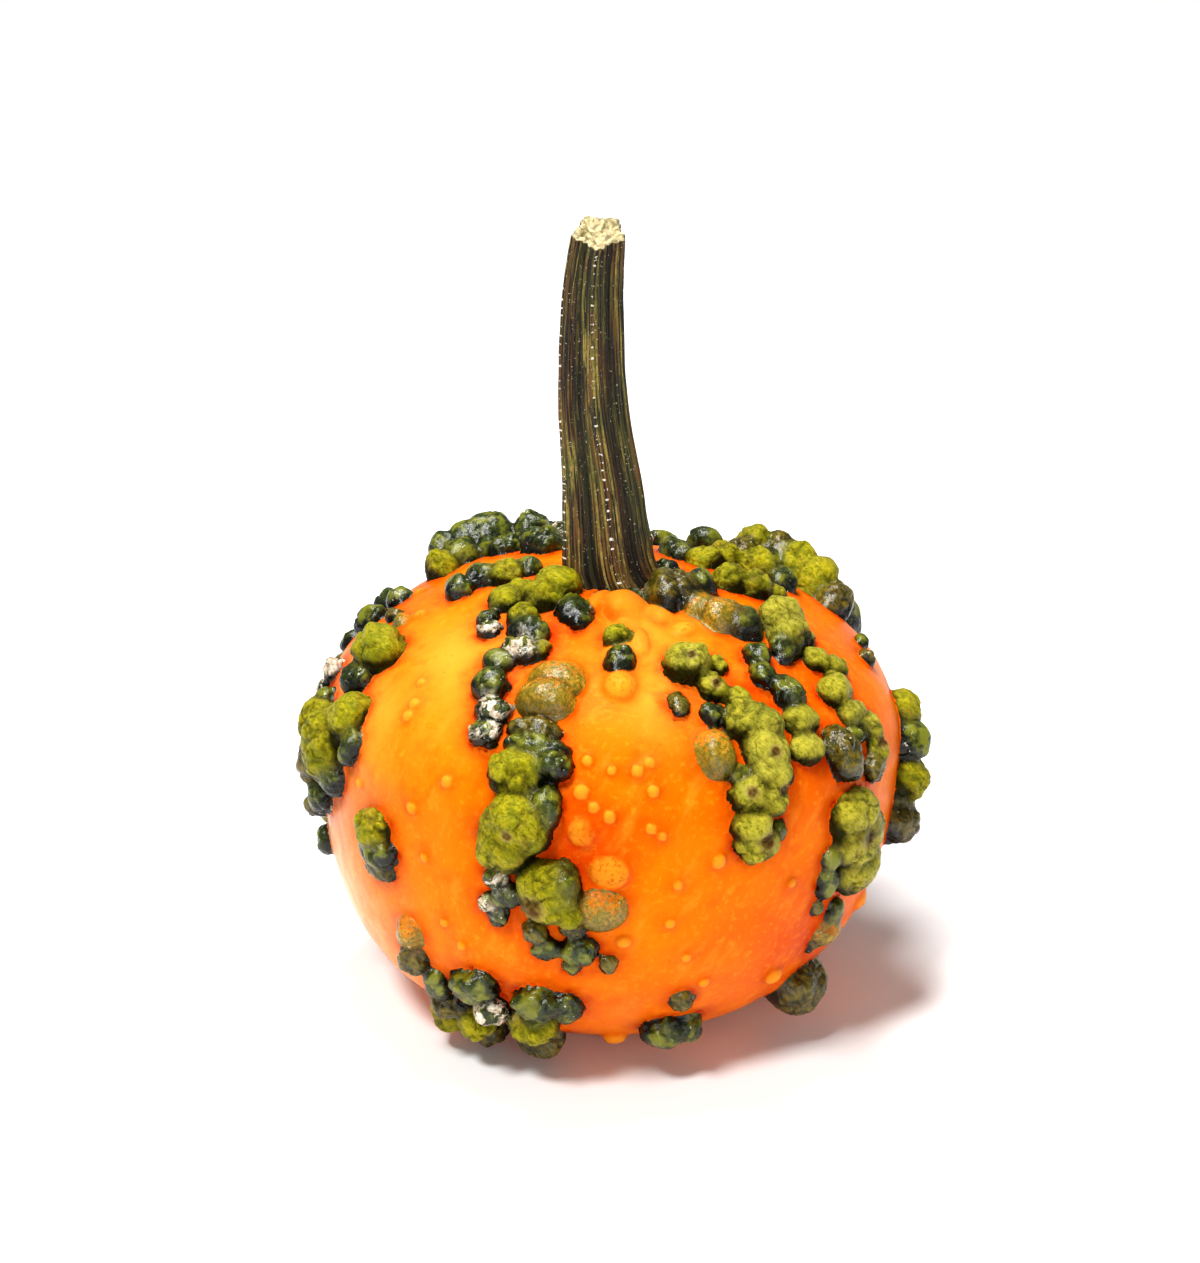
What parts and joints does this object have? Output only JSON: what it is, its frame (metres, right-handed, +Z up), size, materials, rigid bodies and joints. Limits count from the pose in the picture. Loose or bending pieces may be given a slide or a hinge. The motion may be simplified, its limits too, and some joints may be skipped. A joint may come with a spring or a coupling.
{
  "type": "warty winter squash",
  "caption": "Round orange winter squash with chains of green warts and a long ridged stem, resting on a small flat spot.",
  "frame": {"origin": "middle of the small flat spot that the squash rests on", "axes": "+Z up through the fruit towards the stem, -Y towards the side that the picture shows, +X to its right"},
  "size_m": [0.2214, 0.2201, 0.2795],
  "materials": {
    "rind": "waxy orange rind with green, brown and corky warts, semi-gloss",
    "stem": "dry fibrous dark green stem, matte, straw-coloured where cut"
  },
  "bodies": {
    "root": {"fruit": "rind", "stem": "stem"}
  },
  "joints": []
}
